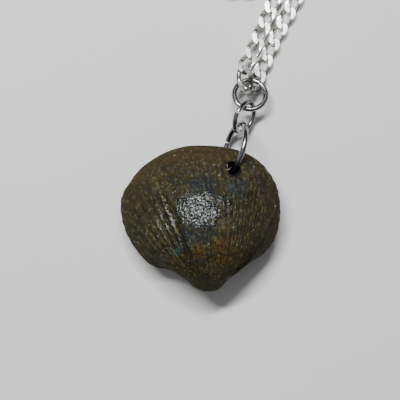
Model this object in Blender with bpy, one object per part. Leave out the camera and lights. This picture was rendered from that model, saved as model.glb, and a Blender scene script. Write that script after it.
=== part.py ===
"""A drilled brachiopod fossil worn as a pendant: the fossil, three jump rings and a curb chain with a clasp.

The origin is the middle of the small worn spot on which the fossil rests. +X is to the right and +Y away from
the beak, seen from above; +Z is up. The driving dimensions are in millimetres, and MM turns them into metres.
"""

import math

import bmesh
import bpy
import numpy as np
from mathutils import Matrix, Vector

MM = 0.001

# The margin where the two valves meet, anticlockwise from the middle of the hinge: (x, y)
MARGIN = [(0.1, -7.6), (4.9, -7.2), (8.5, -5.8), (10.95, -3.4), (12.0, -0.3), (12.15, 3.0), (11.35, 6.5),
          (8.8, 9.8), (4.9, 11.75), (-0.3, 12.4), (-5.1, 11.85), (-10.1, 9.05), (-13.2, 5.0), (-13.8, 2.0),
          (-12.8, -1.9), (-10.6, -5.3), (-8.1, -7.3), (-4.3, -7.7)]
MARGIN_HEIGHT = 5.0        # of the margin above the resting surface
FRONT_LIFT = 0.6           # the margin arches up this much in the middle of the front
FRONT_LIFT_REACH = 5.0
FRONT_X = -0.3
BEAK_X = 0.6

# The valves along the middle, from the front of the margin to the beak's tip: (y, height over the margin)
UPPER_VALVE = [(12.2, 0.0), (11.3, 1.35), (8.8, 3.5), (4.9, 5.9), (0.2, 7.3), (-4.3, 7.1), (-8.0, 5.4),
               (-10.7, 3.0), (-11.1, 1.4), (-10.2, 0.5), (-9.2, 0.7)]
LOWER_VALVE = [(12.2, 0.0), (11.2, -1.1), (8.6, -2.7), (4.4, -4.5), (-0.3, -5.3), (-4.3, -4.7), (-7.1, -3.0),
               (-8.3, -1.5), (-8.1, -0.9)]
WIDTH_POWER = 0.74         # a growth line narrows as its size to this power, which makes the umbo broad
TIP_POWER = 0.4            # added to it at the beak's tip, which is rounder
UPPER_ROWS = 22
LOWER_ROWS = 11

# Grooves between the ribs, as places along the margin from 0 to 1, which drift by RIB_DRIFT towards the beak
RIB_DRIFT = 0.08
LEFT_GROOVE = 0.617        # the deep groove beside the smooth middle band
LEFT_STEP = 0.036
LEFT_COUNT = 7
LEFT_DEPTH = 0.5
LEFT_FADE = 0.84           # each groove further left is this much shallower
RIGHT_GROOVE = 0.452
RIGHT_STEP = -0.022
RIGHT_COUNT = 3
RIGHT_DEPTH = 0.22
GROOVE_WIDTH = 0.0085
# Places along the margin where the mesh changes its step, and the number of steps in each stretch
MARGIN_STEPS = [(0.0, 0.36, 18), (0.36, 0.48, 16), (0.48, 0.56, 4), (0.56, 0.84, 38), (0.84, 1.0, 8)]

# The drilled hole leans a little: its middle where it enters above and where it leaves below
HOLE_RADIUS = 1.15
HOLE_TOP = (4.45, 8.5, 8.1)
HOLE_BOTTOM = (2.45, 8.8, 2.6)
HOLE_SIDES = 20

# Jump rings: the middle, the way to the far end, a vector towards the right-hand side, and the wire's radius
RING_CUT = 0.35            # the cut in a jump ring, along its wire
RINGS = {
    "shell_ring": {"wire": 0.46, "middle": (4.72, 11.97, 5.25), "far": (0.955, 3.91, -0.33),
                   "side": (1.33, 0.0, 3.81), "cut": 285},
    "link_ring": {"wire": 0.4, "middle": (6.35, 16.93, 3.7), "far": (0.8, 2.39, 0.44),
                  "side": (-1.42, 0.08, 2.13), "cut": 75},
    "bail_ring": {"wire": 0.42, "middle": (7.3, 20.7, 2.96), "far": (0.53, 2.39, -0.81),
                  "side": (2.53, -0.5, 0.15), "cut": 28},
}
RING_STEPS = 28
RING_SIDES = 8

# The curb chain, and its way over the bail ring and through it
CHAIN_WIDTH = 2.6
CHAIN_THICKNESS = 1.0
STRAND_WIDTH = 0.9 * CHAIN_WIDTH   # of the plain solid, which keeps the two strands apart
LOOP_ROUTE = [(6.1, 24.3, 4.1), (6.2, 23.1, 4.35), (6.6, 21.9, 3.85), (7.2, 21.3, 2.6), (7.85, 21.65, 1.3),
              (8.4, 22.8, 0.8), (8.85, 23.9, 0.65)]
LOOP_WIRE = (7.04, 23.13, 2.14)    # the bail ring's wire inside the loop
LEFT_ROUTE = [(6.35, 25.0, 3.8), (7.3, 26.7, 3.1), (8.35, 28.9, 2.3), (9.4, 31.5, 1.7), (10.5, 34.2, 1.0),
              (11.7, 37.1, 0.55)]
RIGHT_ROUTE = [(9.15, 24.55, 0.55), (10.3, 27.2, 0.55), (11.4, 29.8, 0.55), (12.75, 32.4, 0.55),
               (14.2, 35.2, 0.55), (15.95, 38.8, 0.55)]
LOOP_RADIUS = 0.62         # of the plain solid
GAP = 0.3                  # between pieces that touch

# The rest of the chain is wound up past the end of the strands
COIL_MIDDLE = (5.9, 53.1)
COIL_INNER = 11.6          # the line of the inner strand
COIL_OUTER = 14.4
COIL_EDGE = 0.54 * CHAIN_WIDTH     # from a strand's line to the side of the coil
COIL_HEIGHT = 3.5
COIL_STEPS = 40

# The hook clasp lies on the coil, with its eye at one end and the last ring of the chain in its bend
CLASP_ANGLE = 105          # degrees around the coil
CLASP_OUT = 10.9           # from the middle of the coil
CLASP_HEIGHT = 4.8
HOOK_WIRE = 0.38
HOOK_EYE = 1.35
HOOK_BEND = 1.5
HOOK_SHANK = 5.0
CLASP_RINGS = {
    "clasp_ring": {"middle": (-3.85, 0.0, 0.0), "far": (-1.45, 0.0, 0.0),
                   "side": (0.0, 1.15, 0.88), "cut": 60},
    "end_ring": {"middle": (3.6, 0.15, 0.0), "far": (1.45, 0.0, 0.0), "side": (0.0, 1.25, 0.74), "cut": 60},
}
CLASP_WIRE = 0.27


def clear_scene():
    for item in list(bpy.data.objects):
        bpy.data.objects.remove(item, do_unlink=True)


def make_material(name, colour, roughness, metallic):
    made = bpy.data.materials.new(name)
    made.use_nodes = True
    shader = made.node_tree.nodes["Principled BSDF"]
    shader.inputs["Base Color"].default_value = (*colour, 1.0)
    shader.inputs["Roughness"].default_value = roughness
    shader.inputs["Metallic"].default_value = metallic
    return made


def add_object(name, points, faces, finish, parent, smooth_angle=40):
    """A closed mesh from points in millimetres, its faces turned outwards."""
    mesh = bpy.data.meshes.new(name)
    mesh.from_pydata([Vector(p) * MM for p in points], [], faces)
    shape = bmesh.new()
    shape.from_mesh(mesh)
    bmesh.ops.recalc_face_normals(shape, faces=shape.faces)
    shape.to_mesh(mesh)
    shape.free()
    mesh.shade_smooth()
    mesh.set_sharp_from_angle(angle=math.radians(smooth_angle))
    mesh.materials.append(finish)
    made = bpy.data.objects.new(name, mesh)
    made.parent = parent
    bpy.context.collection.objects.link(made)
    return made


def smooth_line(points, at, closed=False):
    """Points of a Catmull-Rom curve, at these shares of its length."""
    given = np.array(points, float)
    if closed:
        ends = np.vstack([given[-1], given, given[0], given[1]])
    else:
        ends = np.vstack([2 * given[0] - given[1], given, 2 * given[-1] - given[-2]])
    t = np.linspace(0, 1, 40, endpoint=False)[:, None]
    runs = []
    for a, b, c, d in zip(ends, ends[1:], ends[2:], ends[3:]):
        runs.append(b + 0.5 * t * (c - a + t * (2 * a - 5 * b + 4 * c - d + t * (3 * b - a - 3 * c + d))))
    fine = np.vstack(runs + [given[:1] if closed else given[-1:]])
    gone = np.concatenate([[0], np.cumsum(np.linalg.norm(np.diff(fine, axis=0), axis=1))])
    where = np.asarray(at) * gone[-1]
    return np.stack([np.interp(where, gone, fine[:, k]) for k in range(fine.shape[1])], 1)


def unit(vectors):
    return vectors / np.maximum(np.linalg.norm(vectors, axis=-1, keepdims=True), 1e-9)


# ---------------------------------------------------------------- the fossil

def growth_lines(valve, places, rows):
    """Rows of a valve from margin to beak: each is the margin, shrunk and turned about the beak's tip."""
    margin = smooth_line(MARGIN, places, closed=True)
    track = smooth_line(valve, rows)
    tip = track[-1]
    from_tip = track - tip
    size = np.hypot(from_tip[:, 0], from_tip[:, 1])
    size /= size[0]
    turn = np.unwrap(np.arctan2(from_tip[:-1, 1], from_tip[:-1, 0]))
    turn = np.append(turn, turn[-1]) - turn[0]
    across = margin[:, 0] - BEAK_X
    along = margin[:, 1] - tip[0]
    lift = FRONT_LIFT * np.exp(-((margin[:, 0] - FRONT_X) / FRONT_LIFT_REACH) ** 2) * (margin[:, 1] > 0)
    grid = []
    for shrink, angle, row in zip(size, turn, rows):
        up = lift * (1 - row) ** 2 - tip[1]
        y = tip[0] + shrink * (along * math.cos(angle) - up * math.sin(angle))
        z = tip[1] + shrink * (along * math.sin(angle) + up * math.cos(angle))
        width = shrink ** (WIDTH_POWER + TIP_POWER * (1 - shrink) ** 14)
        grid.append(np.stack([BEAK_X + across * width, y, z + MARGIN_HEIGHT], 1))
    return np.array(grid)


def outward(grid, sign):
    """Normals of a grid of points, by differences along its rows and columns."""
    along = np.roll(grid, -1, 1) - np.roll(grid, 1, 1)
    down = np.gradient(grid, axis=0)
    return sign * unit(np.cross(along, down))


def groove_depth(places, row):
    """How deep the grooves between the ribs are, at places along the margin."""
    at = places + RIB_DRIFT * row
    depth = np.zeros_like(at)
    for i in range(LEFT_COUNT):
        middle = LEFT_GROOVE + i * LEFT_STEP
        depth += LEFT_DEPTH * LEFT_FADE**i * np.exp(-((at - middle) / GROOVE_WIDTH) ** 2)
    for i in range(RIGHT_COUNT):
        middle = RIGHT_GROOVE + i * RIGHT_STEP
        depth += RIGHT_DEPTH * np.exp(-((at - middle) / (0.6 * GROOVE_WIDTH)) ** 2)
    near_margin = min(1.0, row / 0.3)
    near_beak = min(1.0, (1.0 - row) / 0.35)
    return depth * near_margin * near_beak


def add_fossil(finish, parent):
    places = np.concatenate([np.linspace(a, b, n, endpoint=False) for a, b, n in MARGIN_STEPS])
    upper_rows = np.linspace(0, 1, UPPER_ROWS)
    upper = growth_lines(UPPER_VALVE, places, upper_rows)
    normals = outward(upper, 1)
    for i, row in enumerate(upper_rows[:-1]):
        upper[i] -= normals[i] * groove_depth(places, row)[:, None]
    lower = growth_lines(LOWER_VALVE, places, np.linspace(0, 1, LOWER_ROWS))
    count = len(places)
    points = [*upper[:-1].reshape(-1, 3), upper[-1, 0], *lower[1:-1].reshape(-1, 3), lower[-1, 0]]
    upper_tip = count * (UPPER_ROWS - 1)
    faces = []

    def join(first, second):
        for i in range(count):
            j = (i + 1) % count
            faces.append((first + i, first + j, second + j, second + i))

    def close(last, tip):
        for i in range(count):
            faces.append((last + i, last + (i + 1) % count, tip))

    for row in range(UPPER_ROWS - 2):
        join(row * count, (row + 1) * count)
    close((UPPER_ROWS - 2) * count, upper_tip)
    start = 0
    for row in range(LOWER_ROWS - 2):
        join(start, upper_tip + 1 + row * count)
        start = upper_tip + 1 + row * count
    close(start, len(points) - 1)
    fossil = add_object("fossil", points, faces, finish, parent, 60)
    flatten_resting_spot(fossil.data)
    drill(fossil, parent)
    return fossil


def flatten_resting_spot(mesh):
    """The belly of the lower valve is worn flat where it rests, at z = 0."""
    shape = bmesh.new()
    shape.from_mesh(mesh)
    cut = bmesh.ops.bisect_plane(
        shape, geom=[*shape.verts, *shape.edges, *shape.faces], dist=1e-7,
        plane_co=(0, 0, 0), plane_no=(0, 0, -1), clear_outer=True)
    rim = [item for item in cut["geom_cut"] if isinstance(item, bmesh.types.BMEdge)]
    for vertex in {v for edge in rim for v in edge.verts}:
        vertex.co.z = 0.0
    bmesh.ops.contextual_create(shape, geom=rim)
    bmesh.ops.recalc_face_normals(shape, faces=shape.faces)
    shape.to_mesh(mesh)
    shape.free()


def drill(fossil, parent):
    top = Vector(HOLE_TOP) * MM
    bottom = Vector(HOLE_BOTTOM) * MM
    axis = top - bottom
    mesh = bpy.data.meshes.new("drill")
    shape = bmesh.new()
    bmesh.ops.create_cone(
        shape, cap_ends=True, segments=HOLE_SIDES, radius1=HOLE_RADIUS * MM, radius2=HOLE_RADIUS * MM,
        depth=4 * axis.length)
    turned = axis.to_track_quat("Z", "Y").to_matrix().to_4x4()
    bmesh.ops.transform(shape, matrix=Matrix.Translation((top + bottom) / 2) @ turned, verts=shape.verts)
    shape.to_mesh(mesh)
    shape.free()
    cutter = bpy.data.objects.new("drill", mesh)
    cutter.parent = parent
    cutter.hide_render = True
    cutter.display_type = "WIRE"
    bpy.context.collection.objects.link(cutter)
    hole = fossil.modifiers.new("hole", "BOOLEAN")
    hole.operation = "DIFFERENCE"
    hole.solver = "EXACT"
    hole.object = cutter


# ---------------------------------------------------------------- rings, strands and other swept pieces

def sweep(line, ups, half_wide, half_thick, sides):
    """Points and faces of a tube with an oval section and flat ends along a line."""
    line = np.array(line, float)
    ahead = unit(np.gradient(line, axis=0))
    side = unit(np.cross(ahead, ups))
    up = np.cross(side, ahead)
    points = []
    for place, across, over in zip(line, side, up):
        for k in range(sides):
            turn = 2 * math.pi * (k + 0.5) / sides
            points.append(place + across * half_wide * math.cos(turn) + over * half_thick * math.sin(turn))
    faces = []
    for i in range(len(line) - 1):
        for k in range(sides):
            a = i * sides + k
            b = i * sides + (k + 1) % sides
            faces.append((a, b, b + sides, a + sides))
    last = (len(line) - 1) * sides
    faces.append(tuple(range(sides)))
    faces.append(tuple(range(last + sides - 1, last - 1, -1)))
    return points, faces


def ring_line(ring, cut):
    """The wire's line around a jump ring, from one side of its cut to the other, and the ring's axis."""
    middle = np.array(ring["middle"], float)
    far = np.array(ring["far"], float)
    radius = np.linalg.norm(far)
    side = np.array(ring["side"], float)
    side -= far * (side @ far) / radius**2
    side *= radius / np.linalg.norm(side)
    half_cut = 0.5 * cut / radius
    start = math.radians(ring["cut"])
    turns = np.linspace(start + half_cut, start + 2 * math.pi - half_cut, RING_STEPS)
    line = middle + np.cos(turns)[:, None] * far + np.sin(turns)[:, None] * side
    return line, unit(np.cross(far, side))


def add_ring(name, ring, wire, cut, finish, parent):
    line, axis = ring_line(ring, cut)
    points, faces = sweep(line, np.tile(axis, (len(line), 1)), wire, wire, RING_SIDES)
    return add_object(name, points, faces, finish, parent, 60)


def add_strand(name, route, finish, parent):
    """A plain flat band in the place of one straight run of the chain."""
    line = smooth_line(route, np.linspace(0, 1, 9))
    ups = np.tile((0.0, 0.0, 1.0), (len(line), 1))
    points, faces = sweep(line, ups, 0.5 * STRAND_WIDTH, 0.5 * CHAIN_THICKNESS, 10)
    return add_object(name, points, faces, finish, parent)


def add_loop(finish, parent):
    """The few links that go over the bail ring and back under it."""
    line = smooth_line(LOOP_ROUTE, np.linspace(0, 1, 13))
    points, faces = sweep(line, unit(line - np.array(LOOP_WIRE)), LOOP_RADIUS, LOOP_RADIUS, 8)
    return add_object("chain_loop", points, faces, finish, parent)


def add_coil(finish, parent):
    inner = COIL_INNER - COIL_EDGE
    outer = COIL_OUTER + COIL_EDGE
    corner = 0.6
    section = [(inner + corner, 0.0), (outer - corner, 0.0), (outer, corner), (outer, COIL_HEIGHT - corner),
               (outer - corner, COIL_HEIGHT), (inner + corner, COIL_HEIGHT), (inner, COIL_HEIGHT - corner),
               (inner, corner)]
    sides = len(section)
    points = []
    for i in range(COIL_STEPS):
        turn = 2 * math.pi * i / COIL_STEPS
        for out, z in section:
            points.append((COIL_MIDDLE[0] + out * math.cos(turn), COIL_MIDDLE[1] + out * math.sin(turn), z))
    faces = []
    for i in range(COIL_STEPS):
        j = (i + 1) % COIL_STEPS
        for k in range(sides):
            m = (k + 1) % sides
            faces.append((i * sides + k, i * sides + m, j * sides + m, j * sides + k))
    return add_object("chain_coil", points, faces, finish, parent)


def hook_line():
    """The hook's wire, flat: an open eye, a straight shank, the bend, and a tip that turns out."""
    half = HOOK_SHANK / 2
    line = []
    for angle in range(-5, 271, 25):
        turn = math.radians(angle)
        line.append((-half + HOOK_EYE * math.cos(turn), HOOK_EYE * math.sin(turn), 0.0))
    line += [(-0.9, -HOOK_EYE, 0.0), (0.9, -HOOK_EYE, 0.0)]
    for angle in range(-90, 91, 30):
        turn = math.radians(angle)
        line.append((half + HOOK_BEND * math.cos(turn), HOOK_BEND * (1 + math.sin(turn)) - HOOK_EYE, 0.0))
    tip = 2 * HOOK_BEND - HOOK_EYE
    return line + [(half - 1.2, tip, 0.0), (half - 2.1, tip + 0.35, 0.0)]


def add_clasp(finish, parent):
    """The clasp's pieces are shaped about the hook's middle and laid along the top of the coil."""
    turn = math.radians(CLASP_ANGLE)
    out = Vector((math.cos(turn), math.sin(turn), 0.0)) * CLASP_OUT
    place = Vector((*COIL_MIDDLE, CLASP_HEIGHT)) + out
    line = smooth_line(hook_line(), np.linspace(0, 1, 40))
    points, faces = sweep(line, np.tile((0.0, 0.0, 1.0), (len(line), 1)), HOOK_WIRE, HOOK_WIRE, 8)
    made = [add_object("clasp_hook", points, faces, finish, parent)]
    for name, ring in CLASP_RINGS.items():
        made.append(add_ring(name, ring, CLASP_WIRE, GAP, finish, parent))
    for piece in made:
        piece.location = place * MM
        piece.rotation_euler.z = turn + math.pi / 2


def main():
    clear_scene()
    pendant = bpy.data.objects.new("pendant", None)
    bpy.context.collection.objects.link(pendant)
    stone = make_material("fossil_stone", (0.047, 0.038, 0.022), 0.42, 0.0)
    steel = make_material("polished_steel", (0.62, 0.61, 0.59), 0.18, 1.0)
    bright = make_material("chain_steel", (0.75, 0.74, 0.72), 0.15, 1.0)
    add_fossil(stone, pendant)
    for name, ring in RINGS.items():
        add_ring(name, ring, ring["wire"], RING_CUT, steel, pendant)
    add_loop(bright, pendant)
    add_strand("chain_left", LEFT_ROUTE, bright, pendant)
    add_strand("chain_right", RIGHT_ROUTE, bright, pendant)
    add_coil(bright, pendant)
    add_clasp(bright, pendant)


main()
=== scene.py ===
import math

import bmesh
import bpy
import numpy as np
from mathutils import Matrix, Vector, noise


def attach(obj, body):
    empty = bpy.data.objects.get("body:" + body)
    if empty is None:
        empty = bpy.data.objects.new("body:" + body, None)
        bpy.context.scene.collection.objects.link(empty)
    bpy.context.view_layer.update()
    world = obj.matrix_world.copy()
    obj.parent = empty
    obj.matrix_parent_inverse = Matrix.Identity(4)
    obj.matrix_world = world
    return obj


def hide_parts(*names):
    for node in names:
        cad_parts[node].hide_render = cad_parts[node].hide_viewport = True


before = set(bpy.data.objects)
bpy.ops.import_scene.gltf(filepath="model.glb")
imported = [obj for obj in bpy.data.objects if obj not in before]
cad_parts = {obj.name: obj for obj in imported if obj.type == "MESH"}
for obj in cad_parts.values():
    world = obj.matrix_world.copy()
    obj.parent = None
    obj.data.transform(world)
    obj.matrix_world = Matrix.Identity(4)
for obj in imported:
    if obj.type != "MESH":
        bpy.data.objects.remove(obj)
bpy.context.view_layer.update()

MM = 0.001

# ------------------------------------ sizes, in millimetres

# The margin where the two valves meet, anticlockwise from the middle of the hinge: (x, y)
MARGIN = [(0.1, -7.6), (4.9, -7.2), (8.5, -5.8), (10.95, -3.4), (12.0, -0.3), (12.15, 3.0), (11.35, 6.5),
          (8.8, 9.8), (4.9, 11.75), (-0.3, 12.4), (-5.1, 11.85), (-10.1, 9.05), (-13.2, 5.0), (-13.8, 2.0),
          (-12.8, -1.9), (-10.6, -5.3), (-8.1, -7.3), (-4.3, -7.7)]
MARGIN_HEIGHT = 5.0
FRONT_LIFT = 0.6
FRONT_LIFT_REACH = 5.0
FRONT_X = -0.3
BEAK_X = 0.6
# The valves along the middle, from the front of the margin to the beak's tip: (y, height over the margin)
UPPER_VALVE = [(12.2, 0.0), (11.3, 1.35), (8.8, 3.5), (4.9, 5.9), (0.2, 7.3), (-4.3, 7.1), (-8.0, 5.4),
               (-10.7, 3.0), (-11.1, 1.4), (-10.2, 0.5), (-9.2, 0.7)]
LOWER_VALVE = [(12.2, 0.0), (11.2, -1.1), (8.6, -2.7), (4.4, -4.5), (-0.3, -5.3), (-4.3, -4.7), (-7.1, -3.0),
               (-8.3, -1.5), (-8.1, -0.9)]
WIDTH_POWER = 0.74         # how fast the growth lines narrow towards the beak
TIP_POWER = 0.4            # added to it at the beak's tip
TIP_LATE = 14              # the higher, the nearer to the tip that it is added
HOLE_RADIUS = 1.15
HOLE_TOP = (4.45, 8.5, 8.1)
HOLE_BOTTOM = (2.45, 8.8, 2.6)

# The rings: their wire's radius, their middle, from there the way to the far end and roughly to one side, and
# the angle from the far end towards that side where the ring was cut and bent shut
RING_CUT = 0.3             # the gap that is left there
RINGS = {
    "shell_ring": {"wire": 0.46, "middle": (4.72, 11.97, 5.25), "far": (0.955, 3.91, -0.33),
                   "side": (1.33, 0.0, 3.81), "cut": 285},
    "link_ring": {"wire": 0.4, "middle": (6.35, 16.93, 3.7), "far": (0.8, 2.39, 0.44),
                  "side": (-1.42, 0.08, 2.13), "cut": 75},
    "bail_ring": {"wire": 0.42, "middle": (7.3, 20.7, 2.96), "far": (0.53, 2.39, -0.81),
                  "side": (2.53, -0.5, 0.15), "cut": 28},
}

PITCH = 2.9
LINK_LENGTH = 1.8          # from the middle of a link to the wire's line at its end
LINK_SIDE = 0.98           # and at its side
LINK_WIRE = 0.31
LINK_SWELL = 0.13          # the wire is pressed this much wider where it is highest and lowest
LINK_TWIST = 0.5
LINK_GRIND = 0.38          # half the chain's thickness, where the links are ground flat
CLOSE_END = 40.0           # the links past this y are out of the main view, and are coarser
CLOSE_LINK = (30, 12)      # places along a link's wire, and around it
FAR_LINK = (16, 6)
LOOP_ROUTE = [(6.1, 24.3, 4.1), (6.2, 23.1, 4.35), (6.6, 21.9, 3.85), (7.2, 21.3, 2.6), (7.85, 21.65, 1.3),
              (8.4, 22.8, 0.8), (8.85, 23.9, 0.65)]
LOOP_WIRE = (7.04, 23.13, 2.14)
LOOP_AXIS = np.array((0.98, -0.194, 0.058))
LOOP_STEPS = 240
LOOP_SKIP = 20             # steps from one place of the loop that a strand's line goes through to the next
LOOP_REACH = 4.2           # links nearer than this to the ring's wire begin to turn about it
LOOP_FADE = 2.6            # and have turned fully this much nearer
LEFT_ROUTE = [(6.35, 25.0, 3.8), (7.3, 26.7, 3.1), (8.35, 28.9, 2.3), (9.4, 31.5, 1.7), (10.5, 34.2, 1.0),
              (11.7, 37.1, 0.55)]
RIGHT_ROUTE = [(9.15, 24.55, 0.55), (10.3, 27.2, 0.55), (11.4, 29.8, 0.55), (12.75, 32.4, 0.55),
               (14.2, 35.2, 0.55), (15.95, 38.8, 0.55)]
COIL_MIDDLE = (5.9, 53.1)
COIL_INNER = 11.6
COIL_OUTER = 14.4
COIL_ENTRY = -23.5         # degrees around the coil where the strands join it
COIL_RISE = 1.05           # per turn
COIL_STEPS = 18            # per turn
LAY_HEIGHT = 0.5           # of a strand's middle over the surface
LEFT_TURNS = 2.0           # before the strand climbs to the clasp
RIGHT_TURNS = 2.35
# The ends of the strands climb to the clasp: (degrees around the coil, out from its middle, height)
LEFT_END = [(30, 11.7, 3.1), (48, 11.8, 3.6), (64, 11.95, 4.4), (80.1, 12.1, 4.8)]
RIGHT_END = [(122, 14.5, 3.6), (136, 14.6, 4.2), (146, 14.5, 4.6), (151, 13.5, 4.8), (149, 12.3, 4.8),
             (142, 11.9, 4.8), (131.4, 11.88, 4.8)]

CLASP_ANGLE = 105
CLASP_OUT = 10.9
CLASP_HEIGHT = 4.8
HOOK_WIRE = 0.38
HOOK_EYE = 1.35
HOOK_BEND = 1.5
HOOK_SHANK = 5.0
HOOK_PLACES = 150          # along its wire
HOOK_STRAIGHT = 0.9        # half the straight part of the shank
HOOK_TIP = (1.2, 2.1)      # how far the tip reaches back from the bend, in two steps
HOOK_TIP_OUT = 0.35
CLASP_RINGS = {
    "clasp_ring": {"middle": (-3.85, 0.0, 0.0), "far": (-1.45, 0.0, 0.0),
                   "side": (0.0, 1.15, 0.88), "cut": 60},
    "end_ring": {"middle": (3.6, 0.15, 0.0), "far": (1.45, 0.0, 0.0),
                 "side": (0.0, 1.25, 0.74), "cut": 60},
}
CLASP_WIRE = 0.27
CLASP_CUT = 0.2

# The view looks straight down
VIEW_MIDDLE = (-0.86, 3.52)
VIEW_DISTANCE = 190.0
VIEW_SIDE = 64.5           # of the square that the view shows at the margin's height
SENSOR = 36.0


# ------------------------------------ lines and meshes

LINE_STEPS = 40            # from one given point of a line to the next


def smooth_line(points, at, closed=False):
    """Points of a Catmull-Rom curve, at these shares of its length."""
    given = np.array(points, float)
    if closed:
        ends = np.vstack([given[-1], given, given[0], given[1]])
    else:
        ends = np.vstack([2 * given[0] - given[1], given, 2 * given[-1] - given[-2]])
    t = np.linspace(0, 1, LINE_STEPS, endpoint=False)[:, None]
    runs = []
    for a, b, c, d in zip(ends, ends[1:], ends[2:], ends[3:]):
        runs.append(b + 0.5 * t * (c - a + t * (2 * a - 5 * b + 4 * c - d + t * (3 * b - a - 3 * c + d))))
    fine = np.vstack(runs + [given[:1] if closed else given[-1:]])
    gone = np.concatenate([[0], np.cumsum(np.linalg.norm(np.diff(fine, axis=0), axis=1))])
    where = np.asarray(at) * gone[-1]
    return np.stack([np.interp(where, gone, fine[:, k]) for k in range(fine.shape[1])], 1)


def unit(vectors):
    """Vectors of length 1 in the same directions."""
    return vectors / np.maximum(np.linalg.norm(vectors, axis=-1, keepdims=True), 1e-9)


def add_mesh(name, points, faces):
    """A mesh object at the origin, from points in millimetres."""
    mesh = bpy.data.meshes.new(name)
    mesh.from_pydata((np.asarray(points) * MM).tolist(), [], faces)
    made = bpy.data.objects.new(name, mesh)
    bpy.context.collection.objects.link(made)
    return made


def add_values(owner, name, kind, values):
    """Stores a value, or a vector, with each point of a mesh object."""
    made = owner.data.attributes.new(name, kind, "POINT")
    made.data.foreach_set("vector" if kind == "FLOAT_VECTOR" else "value", np.ravel(values))


def made_plain(source, name, sharp_angle):
    """The evaluated object as a plain mesh; the source and its modifiers go."""
    bpy.context.view_layer.update()
    evaluated = source.evaluated_get(bpy.context.evaluated_depsgraph_get())
    mesh = bpy.data.meshes.new_from_object(evaluated)
    bpy.data.objects.remove(source, do_unlink=True)
    mesh.name = name
    mesh.shade_smooth()
    mesh.set_sharp_from_angle(angle=math.radians(sharp_angle))
    made = bpy.data.objects.new(name, mesh)
    bpy.context.collection.objects.link(made)
    return made


# ------------------------------------ node trees

class Value:
    """A socket that takes part in sums: an expression on values adds the Math nodes that work it out."""

    def __init__(self, nodes, socket):
        self.nodes = nodes
        self.socket = socket

    def math(self, operation, *terms):
        """Adds a Math node and gives its result."""
        return self.nodes.node("ShaderNodeMath", {"operation": operation}, dict(enumerate(terms)))

    def __add__(self, other):
        return self.math("ADD", self, other)

    __radd__ = __add__

    def __sub__(self, other):
        return self.math("SUBTRACT", self, other)

    def __rsub__(self, other):
        return self.math("SUBTRACT", other, self)

    def __mul__(self, other):
        return self.math("MULTIPLY", self, other)

    __rmul__ = __mul__

    def __truediv__(self, other):
        return self.math("DIVIDE", self, other)

    def __neg__(self):
        return self * -1.0


class Nodes:
    """A node tree, to which one method adds every kind of node."""

    def __init__(self, tree):
        self.tree = tree

    def node(self, kind, settings=None, sockets=None, output=0):
        """Adds a node: first its settings, then its sockets, by name or number, as values or links."""
        made = self.tree.nodes.new(kind)
        for name, value in (settings or {}).items():
            if name == "stops":
                ramp = made.color_ramp
                while len(ramp.elements) < len(value):
                    ramp.elements.new(1.0)
                for element, (place, colour) in zip(ramp.elements, value):
                    element.position = place
                    element.color = (*colour, 1.0)
            else:
                setattr(made, name, value)
        for name, value in (sockets or {}).items():
            self.put(made.inputs[name], value)
        return Value(self, made.outputs[output])

    def part(self, vector, number):
        """One of the three numbers of a vector, counted from 0."""
        return self.node("ShaderNodeSeparateXYZ", None, {0: vector}, number)

    def put(self, socket, value):
        """Links a value to a socket, or sets the socket to a constant."""
        if isinstance(value, Value):
            self.tree.links.new(value.socket, socket)
        elif socket.type == "RGBA" and len(value) == 3:
            socket.default_value = (*value, 1.0)
        else:
            socket.default_value = value


class Recipe(Nodes):
    """A Geometry Nodes tree with named inputs."""

    def __init__(self, name, **inputs):
        tree = bpy.data.node_groups.new(name, "GeometryNodeTree")
        super().__init__(tree)
        tree.interface.new_socket("Geometry", in_out="INPUT", socket_type="NodeSocketGeometry")
        for label, kind in inputs.items():
            tree.interface.new_socket(
                label.replace("_", " "), in_out="INPUT", socket_type="NodeSocket" + kind)
        tree.interface.new_socket("Geometry", in_out="OUTPUT", socket_type="NodeSocketGeometry")
        self.given = tree.nodes.new("NodeGroupInput")
        self.result = tree.nodes.new("NodeGroupOutput")

    def input(self, label):
        return Value(self, self.given.outputs[label])

    def circle(self, places, radius):
        """A round curve with this many places on it."""
        return self.node("GeometryNodeCurvePrimitiveCircle", None, {"Resolution": places, "Radius": radius})

    def finish(self, shape):
        """Ends the tree: instances made real, and the finish put on."""
        real = self.node("GeometryNodeRealizeInstances", None, {"Geometry": shape})
        coated = self.node("GeometryNodeSetMaterial", None, {
            "Geometry": real, "Material": self.input("Finish")})
        self.put(self.result.inputs["Geometry"], coated)

    def apply_to(self, source, name, sharp_angle, **values):
        """Runs the tree on an object and gives the plain mesh that it makes."""
        modifier = source.modifiers.new(self.tree.name, "NODES")
        modifier.node_group = self.tree
        items = self.tree.interface.items_tree
        sockets = {item.name: item.identifier for item in items if item.in_out == "INPUT"}
        for label, value in values.items():
            modifier[sockets[label.replace("_", " ")]] = value
        return made_plain(source, name, sharp_angle)


# The numbers of the Mix node's colour sockets
MIX_FIRST = 6
MIX_SECOND = 7
MIX_RESULT = 2

SPOT_RAGS = 1.1            # how large the rags of a patch's edge are
SPOT_CORE = 0.45           # the share of its reach where a patch is full


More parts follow.
